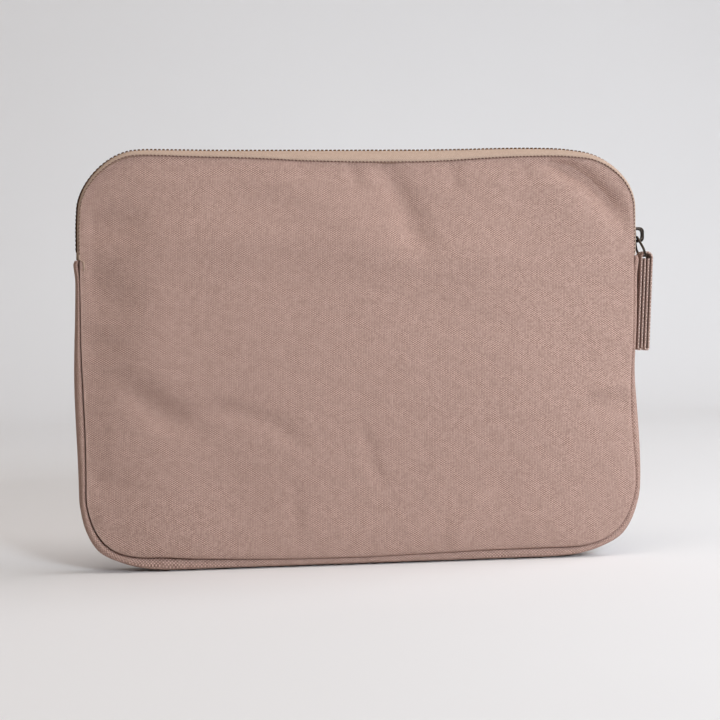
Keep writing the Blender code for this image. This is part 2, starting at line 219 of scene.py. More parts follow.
def build(name, points, faces, material=None, cloth=None, shape=True):
    """An object from points and faces. cloth gives each point its place in the flat cloth, in
    metres, and shape says whether the points are softened."""
    points = soften(points) if shape else np.array(points, float)
    mesh = bpy.data.meshes.new(name)
    mesh.from_pydata([tuple(p) for p in points], [], [tuple(map(int, f)) for f in faces])
    if cloth is not None:
        layer = mesh.uv_layers.new(name="cloth")
        loops = np.empty(len(mesh.loops), np.int64)
        mesh.loops.foreach_get("vertex_index", loops)
        layer.data.foreach_set("uv", np.asarray(cloth, np.float32)[loops].ravel())
    form = bmesh.new()
    form.from_mesh(mesh)
    return finished(name, form, material, mesh)


def finished(name, form, material, mesh=None):
    """A smooth-shaded object from a bmesh, its faces all turned outwards."""
    mesh = mesh or bpy.data.meshes.new(name)
    bmesh.ops.recalc_face_normals(form, faces=form.faces)
    for face in form.faces:
        face.smooth = True
    form.to_mesh(mesh)
    form.free()
    obj = bpy.data.objects.new(name, mesh)
    bpy.context.scene.collection.objects.link(obj)
    if material:
        obj.data.materials.append(material)
    return obj


def lengths(path):
    """The distance along a path at each of its points."""
    step = np.linalg.norm(np.diff(np.asarray(path, float), axis=0), axis=1)
    return np.concatenate([[0], np.cumsum(step)])


def ring_faces(a, b, size):
    """Faces between two rings of points, which start at index a and at index b."""
    turns = [(j, (j + 1) % size) for j in range(size)]
    return [(a + j, a + k, b + k, b + j) for j, k in turns]


def loft(name, rings, across, along, material, shape=True):
    """A strip through closed rings, capped at both ends."""
    rings = np.asarray(rings, float)
    count, size = rings.shape[:2]
    cloth = np.stack(np.meshgrid(along, across, indexing="ij"), axis=-1).reshape(-1, 2)
    faces = []
    for i in range(count - 1):
        faces += ring_faces(i * size, (i + 1) * size, size)
    faces.append(list(range(size))[::-1])
    faces.append(list(range((count - 1) * size, count * size)))
    return build(name, rings.reshape(-1, 3), faces, material, cloth, shape)


def joined(name, objects):
    """One object from several of the same material."""
    form = bmesh.new()
    material = objects[0].data.materials[0]
    for obj in objects:
        form.from_mesh(obj.data)
        bpy.data.objects.remove(obj)
    return finished(name, form, material)


def rounded(corners, radius, steps=6, closed=True):
    """A polyline with its corners rounded."""
    corners = [Vector(c) for c in corners]
    out = []
    for i, here in enumerate(corners):
        if not closed and i in (0, len(corners) - 1):
            out.append(here)
            continue
        before, after = corners[i - 1] - here, corners[(i + 1) % len(corners)] - here
        turn = math.pi - before.angle(after)
        back = min(radius * math.tan(turn / 2), before.length * 0.49, after.length * 0.49)
        a, b = here + before.normalized() * back, here + after.normalized() * back
        for k in range(steps + 1):
            t = k / steps
            out.append(a.lerp(here, t).lerp(here.lerp(b, t), t))
    return out


def slab(name, loop, place, edge, material, sharp=0.6):
    """A plate from a loop of (u, v) points: place(u, v, t) gives the world point, with t 0 or 1
    for its two faces. Its sharp edges are rounded."""
    form = bmesh.new()
    low = [form.verts.new(place(p[0], p[1], 0)) for p in loop]
    high = [form.verts.new(place(p[0], p[1], 1)) for p in loop]
    form.faces.new(low)
    form.faces.new(high[::-1])
    for i in range(len(loop)):
        j = (i + 1) % len(loop)
        form.faces.new((low[j], low[i], high[i], high[j]))
    bmesh.ops.recalc_face_normals(form, faces=form.faces)
    edges = [e for e in form.edges if e.calc_face_angle(0) > sharp]
    bmesh.ops.bevel(form, geom=edges, offset=edge, segments=3, profile=0.5, affect="EDGES")
    return finished(name, form, material)


def block(name, x, y, z, edge, material):
    """A block between these limits, its edges rounded, all in millimetres."""
    form = bmesh.new()
    bmesh.ops.create_cube(form, size=1)
    for v in form.verts:
        v.co = MM * Vector(r[0] + (c + 0.5) * (r[1] - r[0]) for r, c in zip((x, y, z), v.co))
    bmesh.ops.bevel(
        form, geom=list(form.edges), offset=edge * MM, segments=3, profile=0.5, affect="EDGES"
    )
    return finished(name, form, material)


def wire(name, path, radius, material, sides=14):
    """A closed loop of round wire."""
    path = [Vector(p) for p in path]
    points, faces = [], []
    count = len(path)
    plane = (path[1] - path[0]).cross(path[count // 2] - path[0]).normalized()
    for i, here in enumerate(path):
        run = (path[(i + 1) % count] - path[i - 1]).normalized()
        side = run.cross(plane).normalized()
        for k in range(sides):
            angle = 2 * math.pi * k / sides
            points.append(here + radius * (math.cos(angle) * side + math.sin(angle) * plane))
    for i in range(count):
        faces += ring_faces(i * sides, (i + 1) % count * sides, sides)
    return build(name, [p[:] for p in points], faces, material, shape=False)


# --- Materials -----------------------------------------------------------------------------


class Nodes:
    """A short way to write a material's node tree."""

    def __init__(self, name):
        self.material = bpy.data.materials.new(name)
        self.material.use_nodes = True
        self.tree = self.material.node_tree
        self.shader = self.tree.nodes["Principled BSDF"]

    def put(self, socket, value):
        if isinstance(value, bpy.types.NodeSocket):
            self.tree.links.new(value, socket)
        elif socket.type == "RGBA" and len(value) == 3:
            socket.default_value = (*value, 1)
        else:
            socket.default_value = value

    def add(self, kind, *inputs, out=0, **settings):
        """A node's output. Inputs go in order, or by name where one is (name, value)."""
        node = self.tree.nodes.new("ShaderNode" + kind)
        for key, value in settings.items():
            setattr(node, key, value)
        for i, value in enumerate(inputs):
            if isinstance(value, tuple) and value and isinstance(value[0], str):
                self.put(node.inputs[value[0]], value[1])
            else:
                self.put(node.inputs[i], value)
        return node.outputs[out]

    def math(self, operation, *values):
        return self.add("Math", *values, operation=operation)

    def scaled(self, value, centre, amount):
        """A value's swing round its centre, times an amount."""
        return self.math("MULTIPLY", self.math("SUBTRACT", value, centre), amount)

    def total(self, *values):
        result = values[0]
        for value in values[1:]:
            result = self.math("ADD", result, value)
        return result

    def ramp(self, value, low, high):
        return self.add(
            "MapRange",
            ("Value", value), ("From Min", low), ("From Max", high),
            interpolation_type="SMOOTHSTEP",
        )

    def noise(self, place, scale, detail=2.0, rough=0.5):
        return self.add(
            "TexNoise",
            ("Vector", place), ("Scale", scale), ("Detail", detail), ("Roughness", rough),
        )

    def mix(self, share, a, b):
        node = self.tree.nodes.new("ShaderNodeMix")
        node.data_type = "RGBA"
        self.put(node.inputs["Factor"], share)
        ends = [s for s in node.inputs if s.type == "RGBA"]
        self.put(ends[0], a)
        self.put(ends[1], b)
        return [s for s in node.outputs if s.type == "RGBA"][0]

    def surface(self, colour, rough, height, depth, strength=1.0, **constants):
        """The finished material: constants are set on the shader's own sockets."""
        self.put(self.shader.inputs["Base Color"], colour)
        self.put(self.shader.inputs["Roughness"], rough)
        for key, value in constants.items():
            self.put(self.shader.inputs[key.replace("_", " ")], value)
        bent = self.add("Bump", ("Height", height), ("Distance", depth), ("Strength", strength))
        self.put(self.shader.inputs["Normal"], bent)
        return self.material


def cloth(name, dark, light, pitch, relief, contrast, patchy):
    """Plain-woven cloth. Warp and weft pass over and under each other by turns, and each
    crossing, each thread and each patch differs a little in tone and thickness. The crowns of
    the threads are painted lighter and the hollows between them darker, as painted highlight
    and painted shade."""
    n = Nodes(name)
    flat = n.add("UVMap", uv_map="cloth")
    solid = n.add("TexCoord", out="Object")
    drift = n.add("TexNoise", ("Vector", flat), ("Scale", 90.0), ("Detail", 1.0), out="Color")
    drift = n.add("VectorMath", drift, (0.5, 0.5, 0.5), operation="SUBTRACT")
    drift = n.add("VectorMath", drift, ("Scale", 0.0007), operation="SCALE")
    place = n.add("VectorMath", flat, drift, operation="ADD")
    u = n.math("MULTIPLY", n.add("SeparateXYZ", place, out="X"), 1 / pitch[0])
    v = n.math("MULTIPLY", n.add("SeparateXYZ", place, out="Y"), 1 / pitch[1])
    over_u = n.math("SINE", n.math("MULTIPLY", u, math.pi))
    over_v = n.math("SINE", n.math("MULTIPLY", v, math.pi))
    over = n.math("MULTIPLY", over_u, over_v)  # 1 on a warp crown, -1 on a weft crown
    crown = n.math("POWER", n.math("ABSOLUTE", over), 0.7)
    cell = n.add("CombineXYZ", n.math("FLOOR", u), n.math("FLOOR", v), 0.0)
    speck = n.add("TexWhiteNoise", cell, noise_dimensions="2D")
    warp_run = n.add("CombineXYZ", n.math("MULTIPLY", u, 0.9), n.math("MULTIPLY", v, 0.08), 1.0)
    weft_run = n.add("CombineXYZ", n.math("MULTIPLY", u, 0.06), n.math("MULTIPLY", v, 0.9), 5.0)
    warp_slub, weft_slub = n.noise(warp_run, 1.0, 0.0), n.noise(weft_run, 1.0, 0.0)
    fuzz = n.noise(flat, 2400.0, 2.0, 0.6)
    patches = n.noise(solid, 240.0, 1.0, 0.5)
    # in places the weave's painted highlight and shade stand out, in others it is felted
    stands_out = n.math("MULTIPLY_ADD", n.ramp(patches, 0.35, 0.65), 0.22, 0.16)
    # the checker of lighter and darker crowns, with darker hollows between them, is painted
    # highlight and painted shade; speck, slubs and fuzz are the cloth's own tone
    tone = n.total(
        0.5,
        n.math("MULTIPLY", stands_out, n.math("MULTIPLY", over, contrast)),
        n.scaled(crown, 0.6, 0.30 * contrast),
        n.scaled(speck, 0.5, 0.20 * patchy),
        n.scaled(warp_slub, 0.5, 0.02 * patchy),
        n.scaled(weft_slub, 0.5, 0.03 * patchy),
        n.scaled(fuzz, 0.5, 0.22),
    )
    colour = n.mix(n.ramp(tone, -0.1, 1.1), dark, light)
    height = n.total(crown, n.scaled(fuzz, 0.5, 0.25))
    return n.surface(
        colour,
        n.math("MULTIPLY_ADD", fuzz, 0.1, 0.85),
        height,
        relief,
        Specular_IOR_Level=0.2,
        Sheen_Weight=0.2,
        Sheen_Roughness=0.5,
        Sheen_Tint=light,
    )


def metal(name, aged, rubbed, rough, wear):
    """Cast or drawn metal, dark with age and rubbed bright along its edges."""
    n = Nodes(name)
    place = n.add("TexCoord", out="Object")
    stain = n.noise(place, 450.0, 3.0, 0.65)
    grain = n.noise(place, 3800.0, 2.0, 0.6)
    edge = n.add("NewGeometry", out="Pointiness")
    rub = n.total(
        n.math("MULTIPLY", n.ramp(edge, 0.5, 0.6), wear),
        n.math("MULTIPLY", n.ramp(stain, 0.5, 0.75), wear * 0.6),
    )
    colour = n.mix(rub, aged, rubbed)
    rough = n.math("MULTIPLY_ADD", stain, 0.3, rough - 0.15)
    return n.surface(colour, rough, grain, 0.03 * MM, 0.5, Metallic=1.0)


def thread(name, dark, light):
    """Sewing thread with its plies twisted round each other."""
    n = Nodes(name)
    twist = n.add(
        "TexWave",
        ("Vector", n.add("TexCoord", out="Object")), ("Scale", 800.0), ("Distortion", 1.0),
        bands_direction="DIAGONAL", out="Fac",
    )
    return n.surface(n.mix(twist, dark, light), 0.75, twist, 0.05 * MM, 0.6, Sheen_Weight=0.2)


def canvas(name):
    dark, light = (0.168, 0.094, 0.070), (0.640, 0.436, 0.362)
    return cloth(name, dark, light, (1.0 * MM, 0.63 * MM), 0.10 * MM, 1.25, 1.25)


TAPE = cloth(
    "zip_tape_cloth", (0.25, 0.162, 0.116), (0.68, 0.505, 0.392),
    (0.6 * MM, 0.5 * MM), 0.06 * MM, 1.0, 0.8,
)
WEBBING = cloth(
    "pull_webbing", (0.13, 0.07, 0.05), (0.78, 0.57, 0.49),
    (1.15 * MM, 0.8 * MM), 0.2 * MM, 1.4, 0.8,
)
LINING = cloth(
    "lining_cloth", (0.31, 0.26, 0.215), (0.60, 0.53, 0.46),
    (0.36 * MM, 0.33 * MM), 0.03 * MM, 0.6, 0.5,
)
BRASS = metal("zip_brass", (0.042, 0.017, 0.007), (0.22, 0.11, 0.045), 0.5, 0.3)
STOP_BRASS = metal("zip_stop_brass", (0.12, 0.075, 0.04), (0.45, 0.32, 0.18), 0.36, 0.5)
BRONZE = metal("slider_bronze", (0.022, 0.016, 0.013), (0.16, 0.125, 0.10), 0.36, 0.4)
LINK_BRONZE = metal("link_bronze", (0.03, 0.022, 0.018), (0.20, 0.16, 0.13), 0.32, 0.4)
ZIP_THREAD = thread("zip_thread", (0.060, 0.018, 0.011), (0.16, 0.060, 0.040))

# --- Padded panels -------------------------------------------------------------------------

NX, NZ, NC = 108, 68, 18  # mesh steps across, up and round each corner
PAD_EDGE = 14.4 * MM  # the depth where the crown starts
SEWN = 5 * MM  # the canvas is held this far in while it swells
GRID = 4 * MM
SWELL_FRAMES = 40


def panel_stations():
    """Stations for the whole outline, and the point of the middle grid that each belongs to."""
    counts = (NX, NC, NZ, NC, NX, NC, NZ, NC)
    starts = np.concatenate([[ENDS[8] - AROUND], ENDS[1:8]])
    stops = np.concatenate([[ENDS[1]], ENDS[2:9]])
    d, core = [], []
    spots = {1: (NX, 0), 3: (NX, NZ), 5: (0, NZ), 7: (0, 0)}
    for i, (count, a, b) in enumerate(zip(counts, starts, stops)):
        steps = np.linspace(a, b, count + 1)
        if i in spots:
            d += list(steps[1:-1])
            core += [spots[i]] * (count - 1)
        else:
            d += list(steps)
            k = range(count + 1)
            core += {
                0: [(j, 0) for j in k],
                2: [(NX, j) for j in k],
                4: [(NX - j, NZ) for j in k],
                6: [(0, NZ - j) for j in k],
            }[i]
    return Stations(d), core


RIM, RIM_CORE = panel_stations()
RIM_R = np.interp(RIM.p[:, 1], [LOW_R, TOP_Z], [LOW_R, TOP_R])
CORE_X = np.linspace(-1, 1, NX + 1)[:, None] * np.linspace(LOW_X, TOP_X, NZ + 1)
CORE_Z = np.broadcast_to(np.linspace(LOW_R, TOP_Z, NZ + 1), CORE_X.shape)


def inset(x, z):
    """How far in from the outline points of the panel are."""
    r = np.where(z < HEIGHT / 2, LOW_R, TOP_R)
    dx = np.maximum(np.abs(x) - (HALF_WIDTH - r), 0)
    dz = np.maximum(np.where(z < HEIGHT / 2, r - z, z - HEIGHT + r), 0)
    return r - np.hypot(dx, dz)


def face_sheet(insets, depths):
    """Points and faces of a panel: rings at these insets and depths, then the middle grid."""
    count = len(RIM.p)
    points = [RIM.at(-i, y) for i, y in zip(insets, depths)]
    rings = [list(range(k * count, (k + 1) * count)) for k in range(len(insets))]
    start = len(insets) * count
    points.append(
        np.stack([CORE_X.ravel(), np.full(CORE_X.size, depths[-1]), CORE_Z.ravel()], axis=1)
    )
    grid = np.arange(start, start + CORE_X.size).reshape(CORE_X.shape)
    rings.append([int(grid[c]) for c in RIM_CORE])
    faces = []
    for outer, inner in zip(rings, rings[1:]):
        for i in range(count):
            j = (i + 1) % count
            corner = [outer[i], outer[j], inner[j], inner[i]]
            face = [c for k, c in enumerate(corner) if c != corner[k - 1]]
            if len(face) > 2:
                faces.append(face)
    for i in range(NX):
        for j in range(NZ):
            faces.append((grid[i, j], grid[i + 1, j], grid[i + 1, j + 1], grid[i, j + 1]))
    return np.concatenate(points), faces


def two_sided(outer, outer_faces, inner, inner_faces):
    """Two sheets made one closed form, joined round their first rings."""
    offset = len(outer)
    faces = outer_faces + [[c + offset for c in face[::-1]] for face in inner_faces]
    return np.concatenate([outer, inner]), faces + ring_faces(0, offset, len(RIM.p))


def swell(name, seed):
    """Cloth simulation of one panel's canvas: sewn down along its seam, a little too large for its
    frame, and pushed out by the pad behind. Returns its height over a grid of x and z."""
    xs, zs = np.arange(-42, 43) * GRID, np.arange(0.5, 62.5) * GRID
    grid_x, grid_z = np.meshgrid(xs, zs, indexing="ij")
    shape = grid_x.shape
    rough = np.random.default_rng(seed).normal(0, 0.1 * MM, grid_x.size)
    points = np.stack([grid_x.ravel(), rough, grid_z.ravel()], 1)
    index = np.arange(grid_x.size).reshape(shape)
    faces = [
        (index[i, j], index[i + 1, j], index[i + 1, j + 1], index[i, j + 1])
        for i in range(shape[0] - 1)
        for j in range(shape[1] - 1)
    ]
    obj = build(name, points, faces, shape=False)
    held = obj.vertex_groups.new(name="held")
    held.add([int(i) for i in index[inset(grid_x, grid_z) < SEWN]], 1.0, "REPLACE")
    settings = obj.modifiers.new("Cloth", "CLOTH").settings
    settings.quality = 6
    settings.mass = 0.4
    settings.tension_stiffness = settings.compression_stiffness = 20
    settings.shear_stiffness = 8
    settings.bending_stiffness = 20
    settings.vertex_group_mass = "held"
    settings.shrink_min = -0.003  # 0.3 per cent oversize
    settings.use_pressure = True
    settings.uniform_pressure_force = 0.5
    settings.effector_weights.gravity = 0.0
    scene = bpy.context.scene
    for number in range(1, SWELL_FRAMES + 1):
        scene.frame_set(number)
    posed = obj.evaluated_get(bpy.context.evaluated_depsgraph_get())
    moved = np.empty(len(posed.data.vertices) * 3)
    posed.data.vertices.foreach_get("co", moved)
    height = moved.reshape(-1, 3)[:, 1].reshape(shape)
    scene.frame_set(1)
    bpy.data.objects.remove(obj)
    return xs, zs, height * (np.sign(height.mean()) or 1)


def blurred(grid, passes):
    """A grid of heights, smoothed this many times."""
    for _ in range(passes):
        for axis in (0, 1):
            wide = np.pad(grid, [(1, 1) if a == axis else (0, 0) for a in (0, 1)], "edge")
            low, high = (np.take(wide, range(k, k + grid.shape[axis]), axis) for k in (0, 2))
            grid = (low + 2 * grid + high) / 4
    return grid


def sampled(xs, zs, height, most, puckers):
    """The cloth's height as a function of x and z. The foam behind it keeps its broad crown and
    flattens its puckers to a share of themselves."""
    height = blurred(height, 2)
    broad = blurred(height, 40)
    height = most / broad.max() * broad + puckers * (height - broad)

    def at(x, z):
        i = np.clip((x - xs[0]) / (xs[1] - xs[0]), 0, len(xs) - 1.001)
        j = np.clip((z - zs[0]) / (zs[1] - zs[0]), 0, len(zs) - 1.001)
        a, b = i.astype(int), j.astype(int)
        f, g = i - a, j - b
        f, g = f * f * (3 - 2 * f), g * g * (3 - 2 * g)
        low = height[a, b] * (1 - f) + height[a + 1, b] * f
        high = height[a, b + 1] * (1 - f) + height[a + 1, b + 1] * f
        return low * (1 - g) + high * g

    return at


def groove(x, z, path, width, depth):
    """A soft valley along a path, fading at both ends, or a ridge where its depth is negative.
    The path, width and depth are in millimetres."""
    path = np.array(path, float)
    at = np.stack([x, z], -1) / MM
    nearest = np.full(len(at), 1e9)
    share = np.zeros(len(at))
    s = lengths(path)
    for a, b, s0, s1 in zip(path, path[1:], s, s[1:]):
        t = np.clip(((at - a) @ (b - a)) / ((b - a) @ (b - a)), 0, 1)
        off = np.linalg.norm(at - a - t[:, None] * (b - a), axis=1)
        closer = off < nearest
        nearest[closer] = off[closer]
        share[closer] = (s0 + t * (s1 - s0))[closer] / s[-1]
    ends = ease(share, -0.02, 0.35) * ease(-share, -1.02, -0.65)
    return -depth * MM * ends * np.exp(-((nearest / width) ** 2))


FRONT_FOLDS = (  # path, half width, depth
    (((104, 244), (124, 238), (140, 231), (151, 221), (159, 209), (165, 196)), 6.0, 7.2),
    (((100, 228), (124, 218), (142, 202), (150, 184)), 14.0, -1.8),
    (((8, 250), (15, 236), (25, 216), (31, 198), (43, 178)), 8.0, 4.2),
    (((-80, 240), (-50, 228), (-4, 206), (22, 190)), 14.0, -2.6),
    (((-7, 245), (-5, 224)), 4.0, 1.6),
    (((53, 245), (57, 221)), 4.5, 1.9),
    (((98, 246), (101, 226)), 4.0, 1.1),
    (((-182, 200), (-158, 204), (-126, 206)), 10.0, 3.0),
    (((-176, 138), (-156, 134), (-138, 130)), 7.0, 2.0),
    (((-176, 122), (-146, 114), (-112, 92), (-88, 70)), 8.0, 2.2),
    (((-144, 110), (-126, 97), (-108, 84)), 9.0, 3.3),
    (((-108, 98), (-80, 95), (-56, 87), (-32, 66)), 5.0, 2.0),
    (((-6, 92), (2, 66), (12, 38)), 4.5, 1.4),
    (((-46, 56), (-42, 12)), 4.5, 1.3),
    (((52, 2), (55, 20), (66, 34), (82, 43)), 4.5, -2.4),
    (((90, 12), (102, 24), (120, 36)), 5.0, -1.4),
    (((134, 100), (170, 109)), 5.0, -1.3),
    (((130, 90), (172, 97)), 6.0, 1.3),
    (((148, 130), (168, 137)), 4.0, -0.64),
    (((-176, 62), (-156, 54), (-136, 48)), 6.0, 1.4),
    (((-174, 24), (-152, 38)), 6.0, -1.3),
    (((30, 160), (90, 140), (150, 128)), 7.0, 0.8),
    (((-178, 184), (-154, 166), (-134, 150)), 12.0, 3.0),
    (((-128, 206), (-134, 150), (-134, 84)), 22.0, -2.6),
    (((-190, 190), (-60, 198), (40, 184), (160, 188)), 15.0, -3.0),
)
BACK_FOLDS = (
    (((-112, 242), (-136, 228), (-156, 204)), 6.5, 1.5),
    (((120, 240), (140, 226), (158, 200)), 7.5, 0.9),
    (((-20, 248), (-30, 222), (-48, 200)), 7.0, 0.9),
    (((60, 80), (100, 60), (136, 58)), 9.0, 0.8),
    (((-150, 96), (-110, 84), (-80, 60)), 9.0, 0.8),
    (((40, 8), (36, 34)), 4.5, -0.6),
    (((168, 128), (140, 120), (112, 124)), 6.0, 0.5),
)


def pad(name, side, height, folds, material):
    """A panel: canvas drawn over a foam pad and turned in at its seam all round."""
    q, g = RIM.q, RIM.gap
    wall = (  # in from the seam, depth
        (0.05, 9.4), (0.02, 10.6), (0.0, 11.7), (0.06, 12.5), (0.34, 13.15),
        (0.9, 13.65), (1.8, 13.98), (3.2, 14.2), (5.2, 14.35),
    )
    insets = [q + g + d * MM for d, _ in wall]
    depths = [y * MM for _, y in wall]
    last = insets[-1]
    for share in np.linspace(0, 1, 12)[1:-1]:
        insets.append(last + (RIM_R - last) * share)
        depths.append(PAD_EDGE)
    points, faces = face_sheet(insets, depths)
    x, z = points[:, 0], points[:, 2]
    room = inset(x, z)
    # the face drops away a little towards the left side and the top
    lean = 2.8 * ease(-x, 118 * MM, 172 * MM) + 1.8 * ease(z, 188 * MM, 246 * MM)
    lean *= MM * ease(points[:, 1], 11.6 * MM, 14.3 * MM)
    points[:, 1] += ease(room, 4 * MM, 22 * MM) * height(x, z) - lean
    for path, width, depth in folds:
        points[:, 1] += ease(room, 4.5 * MM, 10 * MM) * groove(x, z, path, width, depth)
    inner_insets = [q + 0.5 * MM, q + 4 * MM, RIM_R * 0.5, RIM_R * 0.8]
    points, faces = two_sided(points, faces, *face_sheet(inner_insets, [PAD_INSIDE] * 4))
    points[:, 1] *= side
    flat, count = points[:, [0, 2]].copy(), len(q)
    for k in range(5):  # the cloth carries on round the edge at its own length
        flat[k * count : (k + 1) * count] += RIM.n * (5 - k) * 0.9 * MM
    return build(name, points, faces, material, flat)


# --- Edge band, zip tapes and lining -------------------------------------------------------


def swept(name, stations, ring, material):
    """A strip swept along stations: its section is a ring of (out, depth), which may each differ
    by station."""
    rings = np.stack([stations.at(o, y) for o, y in ring], axis=1)
    count = len(stations.d)
    section = np.array([(np.broadcast_to(o, count), np.broadcast_to(y, count)) for o, y in ring])
    return loft(name, rings, lengths(section[:, :, count // 2]), stations.d, material)


def edge_band(material):
    """The canvas edge band: a soft roll between the panels, its ends turned under as hems."""
    low = low_stations(FOLD_Z - 0.1 * MM)
    q, z = low.q, low.p[:, 1]
    upright = np.abs(low.n[:, 0]) > 0.9
    hem = ease(z, FOLD_Z - 14 * MM, FOLD_Z) * upright
    tip = ease(z, FOLD_Z - 1.3 * MM, FOLD_Z - 0.1 * MM) * upright
    lift = (1.3 * hem - 0.9 * tip) * MM
    roll = q - np.minimum(0.9 * MM, q * 0.5)
    wall = -(q + 0.15 * MM)
    crease = 11.4 - 4.0 * low.gap / MM
    floor = ease(-z, -14 * MM, -2 * MM)  # along the bottom it rests on a narrow strip
    foot = (  # its section there: depth, out
        (11.8, -0.9 * roll), (11.85, -0.72 * roll), (11.6, -0.55 * roll), (11.1, -1.75 * MM),
        (10.3, -1.35 * MM), (8.8, -0.95 * MM), (7.0, -0.6 * MM), (5.0, -0.28 * MM), (2.6, 0.0),
    )
    rows = [(wall, 9.0), (wall + 0.05 * MM, crease - 0.7), (-q + 0.45 * MM, crease)]
    for angle, (foot_y, foot_out) in zip(np.radians(np.linspace(8, 90, len(foot))), foot):
        y = 6.4 + 5.4 * math.cos(angle) ** 0.9
        out = -roll + roll * math.sin(angle) ** 0.8
        rows.append((out + (foot_out - out) * floor, y + (foot_y - y) * floor))
    rows += [(0.0, 4.6 - 2.9 * floor), (0.0, 2.3 - 1.5 * floor)]
    ring = [(o, -y) for o, y in rows] + [(0.0, 0.0)] + rows[::-1]
    ring = [(o + lift, y * MM) for o, y in ring]
    ring += [(np.full(len(q), -3.9 * MM), y * MM) for y in (8.4, 3.0, -3.0, -8.4)]
    return swept("edge_band", low, ring, material)


def zip_tape(name, side):
    """A zip tape, from its seam in the panel's edge up over to the teeth."""
    thick = 0.55 * MM
    top = top_stations(FOLD_Z - 6 * MM)
    q = top.q
    under = -2.6 * MM * (top.p[:, 1] < FOLD_Z)  # its ends go in under the band's hems
    rows = [  # out, depth
        (-q - 0.55 * MM, 11.2), (-q - 0.15 * MM, 12.0), (-q * 0.93, 12.35), (-q * 0.74, 12.05),
        (-q * 0.50 - 0.05 * MM, 11.2), (-q * 0.32 - 0.2 * MM, 9.9), (-q * 0.16 - 0.45 * MM, 8.3),
        (-q * 0.05 - 0.7 * MM, 6.4), (-0.85 * MM, 4.6), (-0.75 * MM, 3.0), (-1.0 * MM, 1.3),
    ]
    rows = [(o + under, y * MM) for o, y in rows]
    inner = []
    for i, (o, y) in enumerate(rows):
        before, after = rows[max(i - 1, 0)], rows[min(i + 1, len(rows) - 1)]
        run_o, run_y = after[0] - before[0], after[1] - before[1]
        size = np.hypot(run_o, run_y) / thick
        inner.append((o + run_y / size, y - run_o / size))
    return swept(name, top, [(o, side * y) for o, y in rows + inner[::-1]], TAPE)


def lining_panel(name, side):
    """One panel's lining: a thin sheet against the pad's inner face."""
    insets = [np.full(len(RIM.q), edge * MM) for edge in (5.3, 11.3, 21.3)]
    outer, faces = face_sheet(insets, [8.2 * MM] * 3)
    inner = outer.copy()
    ripple = np.sin(outer[:, 0] * 55 + 1.3 * side) * np.sin(outer[:, 2] * 41 + 0.7)
    inner[:, 1] = 7.55 * MM - 0.12 * MM * (1 + ripple)
    points, faces = two_sided(outer, faces, inner, faces)
    points[:, 1] *= side
    return build(name, points, faces, LINING, points[:, [0, 2]])


def lining_edge():
    """The lining along the inside of the edge band."""
    ring = ((-4.1, -8.0), (-4.1, 0.0), (-4.1, 8.0), (-4.7, 8.0), (-4.8, 0.0), (-4.7, -8.0))
    low = low_stations(FOLD_Z - 0.3 * MM, 5 * MM)
    return swept("edge_lining", low, [(o * MM, y * MM) for o, y in ring], LINING)


def stitch_row(name, path, outward, pitch, length, radius, slant, material):
    """Stitches along a path, each a short thread that dives in at both ends."""
    path, outward = soften(path), np.asarray(outward, float)
    s = lengths(path)
    sides, sections = 6, 5
    points, faces = [], []
    for k in range(int(s[-1] / pitch)):
        base = len(points)
        for t in np.linspace(0, 1, sections):
            at = (k + 0.5) * pitch + (t - 0.5) * length
            here, ahead, up = (
                np.array([np.interp(a, s, data[:, c]) for c in range(3)])
                for a, data in ((at, path), (at + 0.1 * MM, path), (at, outward))
            )
            run = (ahead - here) / np.linalg.norm(ahead - here)
            up = up - run * (up @ run)
            up /= np.linalg.norm(up)
            cross = np.cross(run, up)
            arch = math.sin(math.pi * t)
            r = radius * (0.5 + 0.5 * arch)
            middle = here + up * radius * (1.3 * arch - 0.6) + cross * slant * (t - 0.5)
            for angle in np.linspace(0, 2 * math.pi, sides, endpoint=False):
                points.append(middle + r * (math.cos(angle) * cross + math.sin(angle) * up))
        last = base + (sections - 1) * sides
        for start in range(base, last, sides):
            faces += ring_faces(start, start + sides, sides)
        faces.append(list(range(base, base + sides))[::-1])
        faces.append(list(range(last, last + sides)))
    return build(name, points, faces, material, shape=False)


def zip_stitches(name, side):
    """The seam between a panel and its zip tape."""
    top = top_stations(FOLD_Z + 1 * MM, 2.0 * MM)
    path = top.at(-top.q + 0.05 * MM, side * 12.85 * MM)
    outward = np.stack([top.n[:, 0] * 0.5, np.full(len(top.d), side), top.n[:, 1] * 0.5], 1)
    return stitch_row(name, path, outward, 2.15 * MM, 1.45 * MM, 0.36 * MM, 0.4 * MM, ZIP_THREAD)


# --- Zip -----------------------------------------------------------------------------------


def tooth_shape():
    """One tooth as points (along the zip, towards the mouth, out) and faces: it clamps the tape's
    edge with a wide foot and reaches over the middle with a narrower rounded head."""
    form = bmesh.new()
    bmesh.ops.create_cube(form, size=1)
    long_edges = [e for e in form.edges if abs((e.verts[0].co - e.verts[1].co).y) > 0.5]
    bmesh.ops.subdivide_edges(form, edges=long_edges, cuts=3)
    for v in form.verts:
        reach = v.co.y + 0.5
        wide, thick = (1.50, 2.2) if reach < 0.3 else (1.25, 1.9) if reach < 0.9 else (0.9, 1.4)
        v.co = Vector((v.co.x * wide, reach * 3.75 - 2.85, v.co.z * thick - 1.0)) * MM
    bmesh.ops.bevel(
        form, geom=list(form.edges), offset=0.2 * MM, segments=2, profile=0.6,
        affect="EDGES", clamp_overlap=True,
    )
    form.verts.index_update()
    points = np.array([v.co[:] for v in form.verts])
    faces = [[v.index for v in f.verts] for f in form.faces]
    form.free()
    return points, faces


